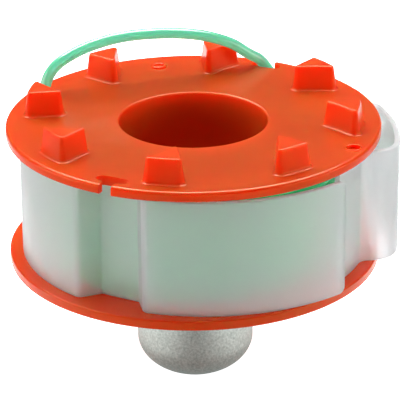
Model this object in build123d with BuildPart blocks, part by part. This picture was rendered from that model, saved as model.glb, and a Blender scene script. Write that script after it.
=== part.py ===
"""Trimmer line spool: a toothed spool with wound line, a milky sleeve round it and a metal tap button below.

Units are millimetres. The axis of the spool is Z, pointing up to the toothed end, and the button's flat
end lies at Z = 0. The sleeve's free end and its pressed-in panel face -Y, its thumb ear faces +X.
"""
import os
from math import acos, cos, degrees, hypot, pi, radians, sin, sqrt, tan

from build123d import *

# Spool
flange_radius = 32.9
flange_thickness = 1.75
flange_gap = 21.6
rim_round = 0.6
edge_round = 0.3
hub_wall = 1.8
bore_radius = 13.0
bore_round = 0.4
floor_thickness = 2.5

# Drive teeth: a nearly radial side to push on, an outer side along the rim and a hollow ramp, all drafted
tooth_count = 8
tooth_height = 4.4
tooth_draft = 8
tooth_length = 8.7
tooth_inset = 3.1
tooth_inner_angle = -6.3
tooth_trailing_angle = -19.3
tooth_leading_angle = -2.5
tooth_ramp_hollow = 0.5
tooth_corner_round = 1.1
tooth_top_round = 0.35
tooth_foot_round = 0.55

# Line and winding
line_diameter = 2.0
winding_inset = 7.5

# Line notches: a pocket along the rim with a mouth through it
notch_angles = (63.4, 153.4, 243.4)
pocket_length = 5.8
pocket_clearance = 0.15
pocket_inset = 3.9
mouth_clearance = 0.3
lip_round = 0.5

# Moulding marks: a round dent with a raised lip and a small raised ring, both placed in from the rim
dent_inset = 2.3
dent_angle = -27.5
dent_radius = 1.2
dent_depth = 0.5
dent_lip = 0.2
ring_inset = 5.6
ring_angle = 103.4
ring_radius = 1.1
ring_round = 0.4

# Tap button, a metal cup whose collar is pressed into the spool's floor
button_radius = 10.45
button_length = 22.15
button_floor = 6.2
button_flat_radius = 6.0
button_end_height = 6.93
shoulder_width = 1.8
collar_wall = 2.2

# Sleeve: insets and reaches are from the flange's rim to its outer side
sleeve_wall = 1.0
sleeve_top_gap = 0.9
sleeve_inset = 2.3
sleeve_middle_inset = 1.1
sleeve_free_reach = 0.9
sleeve_free_angle = -40.6
sleeve_inner_angle = -36.2
panel_clearance = 0.6
panel_near_angle = -110.0
panel_near_shoulder = -106.0
panel_far_angle = -126.5
panel_far_shoulder = -131.0
panel_round = 1.0
ear_reach = 3.3
ear_back_angle = 24.0
ear_front_angle = -14.1
ear_foot_angle = -17.2
ear_front_round = 4.7
ear_foot_round = 2.5
ear_back_round = 2.0
end_corner_round = 1.3
sleeve_edge_round = 0.2

# Free line over the upper flange: share of the straight way between its notches, height of each bend
tail_bends = (
    (0.08, 2.59),
    (0.163, 5.48),
    (0.35, 8.21),
    (0.617, 9.18),
    (0.794, 8.02),
    (0.914, 5.88),
    (0.969, 3.86),
)
tail_start_slope = 55
tail_end_slope = 66
tail_leg_rise = 0.9
tail_leg_drop = 1.9

# Sizes that follow
winding_floor = button_length + flange_thickness
winding_roof = winding_floor + flange_gap
top_face = winding_roof + flange_thickness
bore_floor = button_length + floor_thickness
hub_radius = bore_radius + hub_wall
tooth_outer_radius = flange_radius - tooth_inset
tooth_inner_radius = tooth_outer_radius - tooth_length
collar_radius = button_radius - shoulder_width
cup_radius = collar_radius - collar_wall
line_radius = line_diameter / 2
winding_radius = flange_radius - winding_inset
winding_turns = int(flange_gap / line_diameter)
mouth_width = line_diameter + mouth_clearance
pocket_width = line_diameter + pocket_clearance
pocket_wall_radius = flange_radius - pocket_inset
pocket_radius = pocket_wall_radius + pocket_width / 2
lip_radius = pocket_wall_radius + pocket_width
sleeve_height = flange_gap - sleeve_top_gap
sleeve_radius = flange_radius - sleeve_inset
sleeve_free_radius = flange_radius + sleeve_free_reach
panel_radius = winding_radius + panel_clearance + sleeve_wall
ear_radius = flange_radius + ear_reach


def polar(radius, angle, aside=0.0):
    """Point at a distance from the axis along an angle in degrees, moved aside across that direction."""
    a = radians(angle)
    return radius * cos(a) - aside * sin(a), radius * sin(a) + aside * cos(a)


# One drive tooth, drafted from its foot on the upper flange to its top
with BuildPart() as tooth:
    with BuildSketch(Plane.XY.offset(top_face)) as foot:
        with BuildLine():
            rim_side = CenterArc((0, 0), tooth_outer_radius, tooth_trailing_angle,
                                 tooth_leading_angle - tooth_trailing_angle)
            tip = polar(tooth_inner_radius, tooth_inner_angle)
            Line(rim_side @ 1, tip)
            SagittaArc(tip, rim_side @ 0, tooth_ramp_hollow)
        make_face()
        fillet(foot.vertices(), tooth_corner_round)
    with BuildSketch(Plane.XY.offset(top_face + tooth_height)):
        add(foot.sketch)
        offset(amount=-tooth_height * tan(radians(tooth_draft)), mode=Mode.REPLACE)
    loft(ruled=True)

# Spool body
with BuildPart() as spool_body:
    with BuildSketch(Plane.XZ) as section:
        corner = (Align.MIN, Align.MIN)
        with Locations((0, button_length)):
            Rectangle(flange_radius, flange_thickness, align=corner)
            Rectangle(hub_radius, top_face - button_length, align=corner)
        with Locations((0, winding_roof)):
            Rectangle(flange_radius, flange_thickness, align=corner)
        with Locations((0, bore_floor)):
            Rectangle(bore_radius, top_face - bore_floor, align=corner, mode=Mode.SUBTRACT)
        with Locations((0, button_length)):
            Rectangle(collar_radius, floor_thickness, align=corner, mode=Mode.SUBTRACT)
        fillet(section.vertices().group_by(Axis.X)[-1].sort_by(Axis.Y)[:3], edge_round)
        fillet(section.vertices().group_by(Axis.X)[-1].sort_by(Axis.Y)[-1], rim_round)
        fillet(section.vertices().sort_by_distance((bore_radius, top_face))[0], bore_round)
    revolve(axis=Axis.Z)

    with PolarLocations(0, tooth_count):
        add(tooth.part)
    fillet(spool_body.faces().filter_by(Plane.XY).group_by(Axis.Z)[-1].edges(), tooth_top_round)
    face_edges = spool_body.edges().filter_by_position(Axis.Z, top_face - 0.01, top_face + 0.01)
    feet = [e for e in face_edges if hub_radius < hypot((e @ 0.5).X, (e @ 0.5).Y) < tooth_outer_radius]
    fillet(feet, tooth_foot_round)

    with BuildSketch(Plane.XY.offset(winding_roof)) as notches:
        with Locations([Location((*polar(pocket_radius, a), 0), (0, 0, a)) for a in notch_angles]):
            SlotOverall(pocket_length, pocket_width, rotation=90)
            Rectangle(flange_radius - pocket_wall_radius, mouth_width, align=(Align.MIN, Align.CENTER))
        lips = [polar(lip_radius, a, side * mouth_width / 2) for a in notch_angles for side in (-1, 1)]
        fillet([notches.vertices().sort_by_distance(lip)[0] for lip in lips], lip_round)
    extrude(amount=flange_thickness, mode=Mode.SUBTRACT)

    with Locations((*polar(flange_radius - ring_inset, ring_angle), top_face)):
        Torus(ring_radius, ring_round)
    with Locations((*polar(flange_radius - dent_inset, dent_angle), top_face)):
        Torus(dent_radius + dent_lip / 2, dent_lip)
        Hole(dent_radius, dent_depth)

# Tap button
with BuildPart() as tap_button:
    with BuildSketch(Plane.XZ):
        with BuildLine():
            share = button_flat_radius / button_radius
            end_level = button_end_height * sqrt(1 - share**2)
            flat = Line((0, 0), (button_flat_radius, 0))
            turn = degrees(acos(share))
            end = EllipticalCenterArc((0, end_level), button_radius, button_end_height, -turn, arc_size=turn)
            Polyline(end @ 1, (button_radius, button_length), (collar_radius, button_length),
                     (collar_radius, bore_floor), (cup_radius, bore_floor), (cup_radius, button_floor),
                     (0, button_floor), (0, 0))
        make_face()
    revolve(axis=Axis.Z)

# Winding
with BuildPart() as line_winding:
    with BuildSketch(Plane.XZ):
        pitch = flange_gap / winding_turns
        core_radius = winding_radius - line_radius
        with Locations((hub_radius, winding_floor)):
            Rectangle(core_radius - hub_radius, flange_gap, align=(Align.MIN, Align.MIN))
        turn_levels = [winding_floor + (turn + 0.5) * pitch for turn in range(winding_turns)]
        with Locations([(core_radius, level) for level in turn_levels]):
            Circle(line_radius)
    revolve(axis=Axis.Z)

# Free line, whose legs bear on the lips of their notches
leg_radius = lip_radius - line_radius
start_angle, end_angle = notch_angles[0], notch_angles[1]


def leg(angle, along, height):
    """Point on the line's leg through a notch, moved along the rim from the notch's middle."""
    return (*polar(leg_radius, angle, along), top_face + height)


def between(share, height):
    """Point above the straight way from one notch to the next."""
    start = Vector(*leg(start_angle, 0, height))
    return tuple(start + (Vector(*leg(end_angle, 0, height)) - start) * share)


start_run = 1 / tan(radians(tail_start_slope))
end_run = 1 / tan(radians(tail_end_slope))
tail_route = [
    leg(start_angle, -tail_leg_drop * start_run, -tail_leg_drop),
    leg(start_angle, tail_leg_rise * start_run, tail_leg_rise),
    *[between(share, height) for share, height in tail_bends],
    leg(end_angle, -tail_leg_rise * end_run, tail_leg_rise),
    leg(end_angle, tail_leg_drop * end_run, -tail_leg_drop),
]
tail_radii = []
for before, here, after in zip(tail_route, tail_route[1:], tail_route[2:]):
    arriving = Vector(*here) - Vector(*before)
    leaving = Vector(*after) - Vector(*here)
    half_turn = radians(arriving.get_angle(leaving)) / 2
    tail_radii.append(0.45 * min(arriving.length, leaving.length) / tan(half_turn))
print("line bend radii", [round(r, 1) for r in tail_radii])

with BuildPart() as line_tail:
    with BuildLine() as tail_path:
        FilletPolyline(*tail_route, radius=tail_radii)
    tail_wire = tail_path.wire()
    with BuildSketch(Plane(origin=tail_wire @ 0, z_dir=tail_wire % 0)):
        Circle(line_radius)
    sweep(path=tail_wire)
print("line length", round(tail_wire.length, 2), "volume share",
      round(line_tail.part.volume / (tail_wire.length * pi * line_radius**2), 4))

# Sleeve
with BuildPart() as retaining_sleeve:
    half = sleeve_wall / 2
    with BuildSketch(Plane.XY.offset(winding_floor)) as strip:
        with BuildLine() as strip_path:
            near = polar(sleeve_radius - half, panel_near_shoulder)
            far = polar(sleeve_radius - half, panel_far_shoulder)
            panel = [polar(panel_radius - half, a) for a in (panel_near_angle, panel_far_angle)]
            middle_angle = (sleeve_free_angle + panel_near_shoulder) / 2
            middle_radius = flange_radius - sleeve_middle_inset - half
            ThreePointArc(polar(sleeve_free_radius - half, sleeve_free_angle),
                          polar(middle_radius, middle_angle), near)
            Polyline(near, *panel, far)
            back = CenterArc((0, 0), sleeve_radius - half, panel_far_shoulder,
                             ear_back_angle - panel_far_shoulder - 360)
            ear = CenterArc((0, 0), ear_radius - half, ear_back_angle, ear_front_angle - ear_back_angle)
            Line(back @ 1, ear @ 0)
            inner = CenterArc((0, 0), sleeve_radius - half, ear_foot_angle,
                              sleeve_inner_angle - ear_foot_angle)
            Line(ear @ 1, inner @ 0)
            rounds = [(corner, panel_round) for corner in (near, *panel, far)]
            rounds += [(corner, ear_back_round) for corner in (back @ 1, ear @ 0)]
            rounds += [(ear @ 1, ear_front_round), (inner @ 0, ear_foot_round)]
            for corner, radius in rounds:
                fillet(strip_path.vertices().sort_by_distance(corner)[0], radius)
        trace(line_width=sleeve_wall)
    extrude(amount=sleeve_height)
    free_end = polar(sleeve_free_radius - half, sleeve_free_angle)
    for level in (winding_floor, winding_floor + sleeve_height):
        fillet(retaining_sleeve.edges().sort_by_distance((*free_end, level))[0], end_corner_round)
    hidden_end = Vector(*polar(sleeve_radius - half, sleeve_inner_angle))
    rims = retaining_sleeve.faces().filter_by(Plane.XY).edges()
    rims = [e for e in rims if hypot((e @ 0.5).X - hidden_end.X, (e @ 0.5).Y - hidden_end.Y) > half]
    fillet(rims, sleeve_edge_round)

os.makedirs("parts", exist_ok=True)
for name, piece in (
    ("spool_body", spool_body),
    ("tap_button", tap_button),
    ("line_winding", line_winding),
    ("line_tail", line_tail),
    ("retaining_sleeve", retaining_sleeve),
):
    piece.part.label = name
    export_step(piece.part, f"parts/{name}.step")
    print(name, "volume", round(piece.part.volume, 1), "valid", piece.part.is_valid)
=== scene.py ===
# %% [markdown]
# # Dressing a trimmer line spool
# The spool of a grass trimmer holds its cutting line. An orange moulding with drive teeth carries the
# winding, a springy milky sleeve keeps the turns from falling off, and a grey metal button below is
# tapped on the ground to feed more line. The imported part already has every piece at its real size, so
# this lesson only adds the looks: finishes for the four materials, the free line as a smooth curve and
# the wound line as a surface with real turns.

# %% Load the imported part
import math

import bpy
import numpy as np
from mathutils import Matrix, Vector


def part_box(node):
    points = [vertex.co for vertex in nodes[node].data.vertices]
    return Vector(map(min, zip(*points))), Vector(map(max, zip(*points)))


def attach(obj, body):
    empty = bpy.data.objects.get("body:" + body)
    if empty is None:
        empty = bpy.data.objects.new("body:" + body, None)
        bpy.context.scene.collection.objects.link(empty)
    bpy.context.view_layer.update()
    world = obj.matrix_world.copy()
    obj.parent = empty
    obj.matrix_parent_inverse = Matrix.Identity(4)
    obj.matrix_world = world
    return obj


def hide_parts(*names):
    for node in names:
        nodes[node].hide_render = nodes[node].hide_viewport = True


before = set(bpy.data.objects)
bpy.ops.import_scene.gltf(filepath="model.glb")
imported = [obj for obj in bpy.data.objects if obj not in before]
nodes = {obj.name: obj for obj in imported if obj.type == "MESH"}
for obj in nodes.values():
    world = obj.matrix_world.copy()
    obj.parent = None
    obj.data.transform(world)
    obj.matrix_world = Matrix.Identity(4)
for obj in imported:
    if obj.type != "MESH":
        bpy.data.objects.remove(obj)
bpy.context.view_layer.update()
scene = bpy.context.scene
mm = 0.001
print("pieces:", sorted(nodes))

# %% [markdown]
# ## The camera
# The picture to match was taken with a long lens from a little above. A camera fitted to the outlines of
# the two flanges gives its place, the point it looks at and a very small roll. The lens follows from the
# focal length in pixels of a square picture 400 pixels wide and the 36 mm sensor that Blender assumes.

# %% Camera
picture_width = 400
focal_pixels = 2436.6
sensor_width = 36.0
camera_place = Vector((-0.04, -397.28, 204.18)) * mm
aim_point = Vector((1.05, 0.0, 31.77)) * mm
camera_roll = math.radians(0.475)

forward = (aim_point - camera_place).normalized()
turned = Matrix.Rotation(camera_roll, 3, forward) @ forward.to_track_quat("-Z", "Y").to_matrix()
camera = bpy.data.objects.new("camera", bpy.data.cameras.new("camera"))
camera.data.sensor_width = sensor_width
camera.data.lens = focal_pixels / picture_width * sensor_width
camera.data.clip_start = 0.01
camera.matrix_world = Matrix.Translation(camera_place) @ turned.to_4x4()
scene.collection.objects.link(camera)
scene.camera = camera
print("lens:", round(camera.data.lens, 1), "mm")

# %% [markdown]
# ## Colours and nodes
# Colours are easiest to read as the hex values of a paint program, which are sRGB, while the renderer
# counts in linear light. One function turns the first into the second. Another adds a shader node: it
# sets the node's own choices, then fills each input with a value or joins it to another node's output.

# %% Helpers for materials
def linear(hex_colour):
    """Linear RGBA of an sRGB hex colour.

    A value v up to 0.04045 becomes v / 12.92, and one above it ((v + 0.055) / 1.055) ^ 2.4."""
    v = np.array([int(hex_colour[i:i + 2], 16) for i in (1, 3, 5)]) / 255
    rgb = np.where(v <= 0.04045, v / 12.92, ((v + 0.055) / 1.055) ** 2.4)
    return (*(float(c) for c in rgb), 1.0)


def per_metre(size_in_mm):
    """Texture scale that makes one feature of a pattern that many millimetres wide."""
    return 1 / (size_in_mm * mm)


def add_node(tree, kind, inputs=None, **choices):
    """Adds a node of a kind, makes its choices, and sets or links each named input."""
    node = tree.nodes.new(kind)
    for name, choice in choices.items():
        setattr(node, name, choice)
    for name, value in (inputs or {}).items():
        if isinstance(value, bpy.types.NodeSocket):
            tree.links.new(value, node.inputs[name])
        else:
            node.inputs[name].default_value = value
    return node


def new_material(name):
    """A material with an empty node tree."""
    material = bpy.data.materials.new(name)
    material.use_nodes = True
    material.node_tree.nodes.clear()
    return material, material.node_tree


def close_material(tree, surface):
    """Joins the surface shader to the material's output."""
    add_node(tree, "ShaderNodeOutputMaterial", {"Surface": surface.outputs[0]})


print("middle grey #808080 is", round(linear("#808080")[0], 3), "in linear light")

# %% [markdown]
# ## The orange moulding
# The spool is injection-moulded polyamide, coloured right through. Such plastic is a little translucent:
# light soaks a few millimetres into it, red furthest, so upright faces and edges glow redder than the
# flat top. Subsurface scattering gives that. The mould was spark-eroded, which leaves a fine satin grain
# that is drawn as bump, coarser than the real one so that it shows, and the colour drifts very slightly
# where the melt flowed. The shine is kept low and tinted, because the real faces stay orange even where
# they mirror a white table.

# %% Orange polyamide
def orange_polyamide():
    """Satin orange plastic: two colours mixed by slow flow marks, scattering inside, fine mould grain."""
    flow_size = 9.0
    grain_size = 0.35
    grain_depth = 0.012
    material, tree = new_material("orange_polyamide")
    place = add_node(tree, "ShaderNodeTexCoord").outputs["Object"]
    flow = add_node(tree, "ShaderNodeTexNoise",
                    {"Vector": place, "Scale": per_metre(flow_size), "Detail": 3.0, "Distortion": 0.6})
    colour = add_node(tree, "ShaderNodeValToRGB", {"Fac": flow.outputs["Fac"]})
    colour.color_ramp.elements[0].position = 0.35
    colour.color_ramp.elements[0].color = linear("#DF4A15")
    colour.color_ramp.elements[1].position = 0.65
    colour.color_ramp.elements[1].color = linear("#E34D17")
    grain = add_node(tree, "ShaderNodeTexNoise",
                     {"Vector": place, "Scale": per_metre(grain_size), "Detail": 2.0})
    shine = add_node(tree, "ShaderNodeMapRange",
                     {"Value": grain.outputs["Fac"], "To Min": 0.18, "To Max": 0.28})
    bump = add_node(tree, "ShaderNodeBump",
                    {"Height": grain.outputs["Fac"], "Strength": 0.35, "Distance": grain_depth * mm})
    surface = add_node(tree, "ShaderNodeBsdfPrincipled", {
        "Base Color": colour.outputs["Color"],
        "Roughness": shine.outputs["Result"],
        "IOR": 1.53,
        "Specular IOR Level": 0.35,
        "Specular Tint": linear("#FFB070"),
        "Subsurface Weight": 1.0,
        "Subsurface Radius": (1.0, 0.02, 0.01),
        "Subsurface Scale": 10.0 * mm,
        "Normal": bump.outputs["Normal"],
    })
    close_material(tree, surface)
    return material


moulding_finish = orange_polyamide()
print(moulding_finish.name, "has", len(moulding_finish.node_tree.nodes), "nodes")

# %% [markdown]
# ## The milky sleeve
# The sleeve is a strip of natural polyethylene, about a millimetre thick. It lets light through but
# scatters it, so the green line behind it shows only as a soft tint, strongest where the sleeve lies
# close to the winding. Part of the light is scattered in the wall and part goes through a rough surface.

# %% Milky polyethylene
def milky_polyethylene():
    """Waxy white plastic: scattering in the wall, blurred see-through, a shine that varies in soft clouds."""
    cloud_size = 6.0
    material, tree = new_material("milky_polyethylene")
    place = add_node(tree, "ShaderNodeTexCoord").outputs["Object"]
    clouds = add_node(tree, "ShaderNodeTexNoise",
                      {"Vector": place, "Scale": per_metre(cloud_size), "Detail": 2.0})
    shine = add_node(tree, "ShaderNodeMapRange",
                     {"Value": clouds.outputs["Fac"], "To Min": 0.36, "To Max": 0.5})
    surface = add_node(tree, "ShaderNodeBsdfPrincipled", {
        "Base Color": linear("#F9FCFF"),
        "Roughness": shine.outputs["Result"],
        "IOR": 1.51,
        "Transmission Weight": 0.7,
        "Subsurface Weight": 1.0,
        "Subsurface Radius": (1.0, 1.0, 1.0),
        "Subsurface Scale": 1.0 * mm,
    })
    close_material(tree, surface)
    return material


sleeve_finish = milky_polyethylene()
print(sleeve_finish.name, "has", len(sleeve_finish.node_tree.nodes), "nodes")

# %% [markdown]
# ## The green line
# Trimmer line is extruded nylon, glossy and slightly clear. The free line has light all round it, so it is
# made partly clear, with a polished coat, and its green is painted paler for that light. In the winding turn
# lies on turn and hardly any light comes through, so there the same plastic is made opaque, without the coat,
# and its green is painted deeper for that shade: lit and shaded copies of one nylon.

# %% Green nylon line
def green_nylon(name, hex_colour, clearness, polish):
    """Glossy green plastic: clearness is the share of light let through, polish the weight of the coat."""
    draw_mark_size = 3.0
    material, tree = new_material(name)
    place = add_node(tree, "ShaderNodeTexCoord").outputs["Object"]
    draw_marks = add_node(tree, "ShaderNodeTexNoise",
                          {"Vector": place, "Scale": per_metre(draw_mark_size), "Detail": 2.0})
    shine = add_node(tree, "ShaderNodeMapRange",
                     {"Value": draw_marks.outputs["Fac"], "To Min": 0.15, "To Max": 0.25})
    surface = add_node(tree, "ShaderNodeBsdfPrincipled", {
        "Base Color": linear(hex_colour),
        "Roughness": shine.outputs["Result"],
        "IOR": 1.53,
        "Transmission Weight": clearness,
        "Subsurface Weight": 1.0,
        "Subsurface Radius": (0.5, 1.0, 0.7),
        "Subsurface Scale": 0.6 * mm,
        "Coat Weight": polish,
        "Coat Roughness": 0.08,
    })
    close_material(tree, surface)
    return material


# Painted light and shade: a paler green for the lit free line, a deeper green for the shaded winding.
free_line_painted_light_finish = green_nylon("green_nylon_free_painted_light", "#88F6D2", clearness=0.4, polish=0.3)
wound_line_painted_shade_finish = green_nylon("green_nylon_wound_painted_shade", "#34CE80", clearness=0.0, polish=0.0)
print("line finishes:", free_line_painted_light_finish.name, "and", wound_line_painted_shade_finish.name)

# %% [markdown]
# ## The metal button
# The button is an aluminium casting, tumbled to a dull grey. Its skin is grainy: small pits and bright
# specks, a little under half a millimetre across. One noise drives the colour, the shine and the bump, so
# that each pit is dark and hollow at once.

# %% Cast aluminium
def cast_aluminium():
    """Dull grey metal with a pitted skin: the same specks in the colour, the shine and the bump."""
    speck_size = 0.45
    pit_depth = 0.02
    material, tree = new_material("cast_aluminium")
    place = add_node(tree, "ShaderNodeTexCoord").outputs["Object"]
    specks = add_node(tree, "ShaderNodeTexNoise",
                      {"Vector": place, "Scale": per_metre(speck_size), "Detail": 4.0, "Roughness": 0.7})
    colour = add_node(tree, "ShaderNodeValToRGB", {"Fac": specks.outputs["Fac"]})
    colour.color_ramp.elements[0].position = 0.3
    colour.color_ramp.elements[0].color = linear("#959F99")
    colour.color_ramp.elements[1].position = 0.7
    colour.color_ramp.elements[1].color = linear("#CCD4CE")
    shine = add_node(tree, "ShaderNodeMapRange",
                     {"Value": specks.outputs["Fac"], "To Min": 0.3, "To Max": 0.44})
    bump = add_node(tree, "ShaderNodeBump",
                    {"Height": specks.outputs["Fac"], "Strength": 0.6, "Distance": pit_depth * mm})
    surface = add_node(tree, "ShaderNodeBsdfPrincipled", {
        "Base Color": colour.outputs["Color"],
        "Metallic": 1.0,
        "Roughness": shine.outputs["Result"],
        "Normal": bump.outputs["Normal"],
    })
    close_material(tree, surface)
    return material


button_finish = cast_aluminium()
print(button_finish.name, "has", len(button_finish.node_tree.nodes), "nodes")

# %% [markdown]
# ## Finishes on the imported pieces
# The moulding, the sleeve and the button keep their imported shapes, because the solids already have every
# round and edge that shows. They only swap the material in their slot.

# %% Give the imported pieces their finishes
finishes = {
    "spool_body": moulding_finish,
    "retaining_sleeve": sleeve_finish,
    "tap_button": button_finish,
}
for node_name, finish in finishes.items():
    nodes[node_name].material_slots[0].material = finish
    print(node_name, "is", finish.name)

# %% [markdown]
# ## The free line
# One end of the line comes up through a notch in the upper flange, arches over the teeth and goes down
# through the next notch. Nylon this thick is springy, so the arch stands by itself. The curve is a
# smooth spline along the same route as the solid tube it replaces.

# %% Free line
line_diameter = 2.0 * mm
free_line_route = np.array([
    (14.69, 26.36, 45.35),
    (12.94, 27.24, 48.15),
    (10.26, 25.88, 49.84),
    (6.91, 24.76, 52.73),
    (-0.66, 22.25, 55.46),
    (-11.46, 18.65, 56.43),
    (-18.62, 16.27, 55.27),
    (-23.48, 14.66, 53.13),
    (-25.7, 13.92, 51.11),
    (-26.78, 13.86, 48.15),
    (-27.34, 12.74, 45.35),
]) * mm

line_curve = bpy.data.curves.new("free_line", "CURVE")
line_curve.dimensions = "3D"
line_curve.resolution_u = 16
line_curve.bevel_depth = line_diameter / 2
line_curve.bevel_resolution = 8
line_curve.use_fill_caps = True
spline = line_curve.splines.new("NURBS")
spline.points.add(len(free_line_route) - 1)
spline.points.foreach_set("co", np.c_[free_line_route, np.ones(len(free_line_route))].ravel())
spline.order_u = 3
spline.use_endpoint_u = True
free_line = bpy.data.objects.new("free_line", line_curve)
scene.collection.objects.link(free_line)
free_line.data.materials.append(free_line_painted_light_finish)
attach(free_line, "root")
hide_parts("line_tail")
print("free line follows", len(free_line_route), "points")

# %% [markdown]
# ## A mesh that closes on itself
# A winding is a ring: walk round the axis, or round its section, and the walk ends where it began. So one
# grid of points serves for all of it, and the last row and column are joined to the first.

# %% Ring of quads
def ring_mesh(name, points):
    """Mesh of a closed tube of quads from an array (round, section, 3) that joins up in both directions."""
    rounds, sections = points.shape[:2]
    index = np.arange(rounds * sections).reshape(rounds, sections)
    after = np.roll(index, -1, axis=0)
    quads = np.stack([index, after, np.roll(after, -1, axis=1), np.roll(index, -1, axis=1)], axis=-1)
    mesh = bpy.data.meshes.new(name)
    mesh.vertices.add(rounds * sections)
    mesh.vertices.foreach_set("co", points.ravel())
    mesh.loops.add(quads.size)
    mesh.loops.foreach_set("vertex_index", quads.ravel())
    mesh.polygons.add(rounds * sections)
    mesh.polygons.foreach_set("loop_start", np.arange(0, quads.size, 4))
    mesh.polygons.foreach_set("use_smooth", np.ones(rounds * sections, dtype=bool))
    mesh.update(calc_edges=True)
    mesh.validate()
    return mesh


# %% [markdown]
# ## The wound line
# The winding is a stack of turns, laid side by side along a helix. Its outside is a surface of two
# parameters, the angle round the axis and the height: the radius is that of the core plus the round of
# the nearest strand. A closed section, carried round the axis, adds the two flat ends and the inside. A
# swept tube for every turn would need far more faces, and most of them would be hidden.

# %% Wound line
def winding_points(low, high, inner_radius, outer_radius, turns, columns=240, rows=220):
    """Section of the winding at each angle: up the strands, in along the top, down the hub, out below.

    A strand's middle lies where height / pitch - angle / full turn is a whole number and a half, moved a
    little by slow waves so that the turns are not quite even. The radius there is core + strand radius,
    and beside it core + square root of (strand radius squared - distance squared)."""
    strand = line_diameter / 2
    pitch = (high - low) / turns
    angle = np.linspace(0, 2 * np.pi, columns, endpoint=False)[:, None]
    height = np.linspace(0, high - low, rows)[None, :]
    strong_wave, weak_wave = 0.07, 0.05
    waver = (strong_wave * np.sin(3 * angle + 2.0 * height / pitch)
             + weak_wave * np.sin(5 * angle - 1.3 * height / pitch))
    away = ((height / pitch - angle / (2 * np.pi) + waver) % 1 - 0.5) * pitch
    radius = outer_radius - strand + np.sqrt(np.clip(strand**2 - away**2, 0, None))
    ends = np.array([[inner_radius, high - low], [inner_radius, 0.0]])
    radius = np.hstack([radius, np.full((columns, 2), ends[:, 0])])
    height = np.hstack([np.broadcast_to(height, (columns, rows)), np.full((columns, 2), ends[:, 1])])
    return np.stack([radius * np.cos(angle), radius * np.sin(angle), low + height], axis=-1)


winding_low, winding_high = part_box("line_winding")
hub_radius = 14.8 * mm
winding_turns = 10
hair = 0.02 * mm
wound_line = bpy.data.objects.new("wound_line", ring_mesh("wound_line", winding_points(
    winding_low[2] + hair, winding_high[2] - hair, hub_radius + hair, winding_high[0], winding_turns)))
scene.collection.objects.link(wound_line)
wound_line.data.materials.append(wound_line_painted_shade_finish)
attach(wound_line, "root")
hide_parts("line_winding")
print("wound line has", len(wound_line.data.polygons), "faces")

# %% [markdown]
# ## The pale table
# Small goods are often shown on a glowing white table, so that almost no shadow is left. The camera sees
# this table as plain white. In mirror images it has to be darker: the upright faces of the plastic reflect
# it, and a white table would wash out their orange. A light patch on each side stays, as if two white cards
# lay beside the part. The metal button mirrors them as its two light patches, and so do the sleeve's sides.

# %% Pale table
def pale_table():
    """White matt table. It glows to the camera, and in mirror images it is grey with two light patches.

    A patch rises and fades with the distance to the side, as a share of its reach. The table's colour
    goes from grey in front to white at the back, a painted shade for light that falls off towards the front,
    and in mirror images it stays near the grey."""
    grey_front, white_back = -0.12, 0.02
    dimmed_in_mirrors = 0.8
    patch_reach, patch_starts, patch_ends = 0.13, 0.3, 0.65
    patch_glow = 1.2
    material, tree = new_material("pale_table")
    place = add_node(tree, "ShaderNodeTexCoord").outputs["Object"]
    axes = add_node(tree, "ShaderNodeSeparateXYZ", {"Vector": place}).outputs
    ray = add_node(tree, "ShaderNodeLightPath").outputs
    # Painted shade: the table is darker towards the front, for light that falls off there.
    depth = add_node(tree, "ShaderNodeMapRange",
                     {"Value": axes["Y"], "From Min": grey_front, "From Max": white_back},
                     interpolation_type="SMOOTHSTEP")
    direct = add_node(tree, "ShaderNodeMath", {0: ray["Is Glossy Ray"], 1: -dimmed_in_mirrors, 2: 1.0},
                      operation="MULTIPLY_ADD")
    shade = add_node(tree, "ShaderNodeMath", {0: depth.outputs["Result"], 1: direct.outputs["Value"]},
                     operation="MULTIPLY")
    colour = add_node(tree, "ShaderNodeValToRGB", {"Fac": shade.outputs["Value"]})
    colour.color_ramp.elements[0].color = linear("#A0A0A0")
    colour.color_ramp.elements[1].color = linear("#F0F0F0")
    # Painted light: two glowing patches at the sides, seen only in mirror images, which the button and the
    # sleeve's sides mirror.
    aside = add_node(tree, "ShaderNodeMath", {0: axes["X"]}, operation="ABSOLUTE")
    share = add_node(tree, "ShaderNodeMath", {0: aside.outputs["Value"], 1: patch_reach}, operation="DIVIDE")
    patch = add_node(tree, "ShaderNodeValToRGB", {"Fac": share.outputs["Value"]})
    patch.color_ramp.interpolation = "EASE"
    patch.color_ramp.elements[0].color = linear("#808080")
    patch.color_ramp.elements[1].color = linear("#000000")
    for position in (patch_starts, patch_ends):
        patch.color_ramp.elements.new(position).color = linear("#FFFFFF")
    mirrored = add_node(tree, "ShaderNodeMath", {0: patch.outputs["Color"], 1: ray["Is Glossy Ray"]},
                        operation="MULTIPLY")
    glow = add_node(tree, "ShaderNodeMath",
                    {0: mirrored.outputs["Value"], 1: patch_glow, 2: ray["Is Camera Ray"]},
                    operation="MULTIPLY_ADD")
    surface = add_node(tree, "ShaderNodeBsdfPrincipled", {
        "Base Color": colour.outputs["Color"],
        "Roughness": 0.9,
        "Specular IOR Level": 0.0,
        "Emission Color": linear("#FFFFFF"),
        "Emission Strength": glow.outputs["Value"],
    })
    close_material(tree, surface)
    return material


# %% Table
table_half = 3.0
table_mesh = bpy.data.meshes.new("floor")
corners = [(x * table_half, y * table_half, 0.0) for x, y in ((-1, -1), (1, -1), (1, 1), (-1, 1))]
table_mesh.from_pydata(corners, [], [(0, 1, 2, 3)])
table = bpy.data.objects.new("floor", table_mesh)
scene.collection.objects.link(table)
table.data.materials.append(pale_table())
print("table:", 2 * table_half, "m wide")

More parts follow.
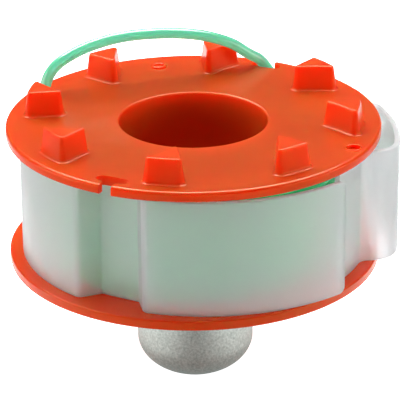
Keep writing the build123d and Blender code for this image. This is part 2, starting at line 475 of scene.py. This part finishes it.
# %% [markdown]
# ## Soft boxes
# A large box hangs above and a little behind, so that the top is bright and the faces towards the camera
# are darker. Low boxes at the sides and a low strip in front reach the upright faces and the upper edge of
# the bore but not its depth, which stays dark red. The edge light is left out of the light that colours the
# faces. It shows only in reflections, where it draws thin bright lines along the rounded edges.

# %% Soft boxes
part_middle = Vector((0.0, 0.0, 0.03))


def soft_box(name, place, width, height, radiance):
    """Area light that faces the part; its power is radiance times pi times its area."""
    lamp = bpy.data.lights.new(name, "AREA")
    lamp.shape = "RECTANGLE"
    lamp.size = width
    lamp.size_y = height
    lamp.energy = radiance * math.pi * width * height
    box = bpy.data.objects.new(name, lamp)
    box.location = place
    box.rotation_euler = (part_middle - Vector(place)).to_track_quat("-Z", "Y").to_euler()
    scene.collection.objects.link(box)
    return box


soft_box("overhead", (-0.08, 0.36, 0.8), width=0.9, height=0.7, radiance=6.0)
soft_box("front_fill", (0.0, -0.8, 0.15), width=1.2, height=0.12, radiance=1.3)
edge_light = soft_box("edge_light", (0.0, 0.35, 0.9), width=1.2, height=0.5, radiance=14.0)
edge_light.visible_diffuse = False
edge_light.visible_transmission = False
soft_box("left_side", (-0.63, -0.12, 0.15), width=0.5, height=0.25, radiance=5.1)
soft_box("right_side", (0.62, -0.18, 0.15), width=0.5, height=0.25, radiance=5.2)

# %% [markdown]
# ## The room
# The room is nearly dark, so that the boxes shape the light. Only rays that go through clear plastic meet a
# bright room. That stands for the light which the thin milky wall gathers from all sides, and it keeps the
# space behind the sleeve from going dark.

# %% Room
dim_room, bright_room = 0.08, 1.4
world = bpy.data.worlds.new("studio")
world.use_nodes = True
room = world.node_tree
through = add_node(room, "ShaderNodeLightPath").outputs["Is Transmission Ray"]
strength = add_node(room, "ShaderNodeMapRange",
                    {"Value": through, "To Min": dim_room, "To Max": bright_room})
room.nodes["Background"].inputs["Color"].default_value = linear("#FFFFFF")
room.links.new(strength.outputs["Result"], room.nodes["Background"].inputs["Strength"])
scene.world = world
scene.view_settings.view_transform = "Standard"
print("room:", dim_room, "and", bright_room, "through clear plastic")
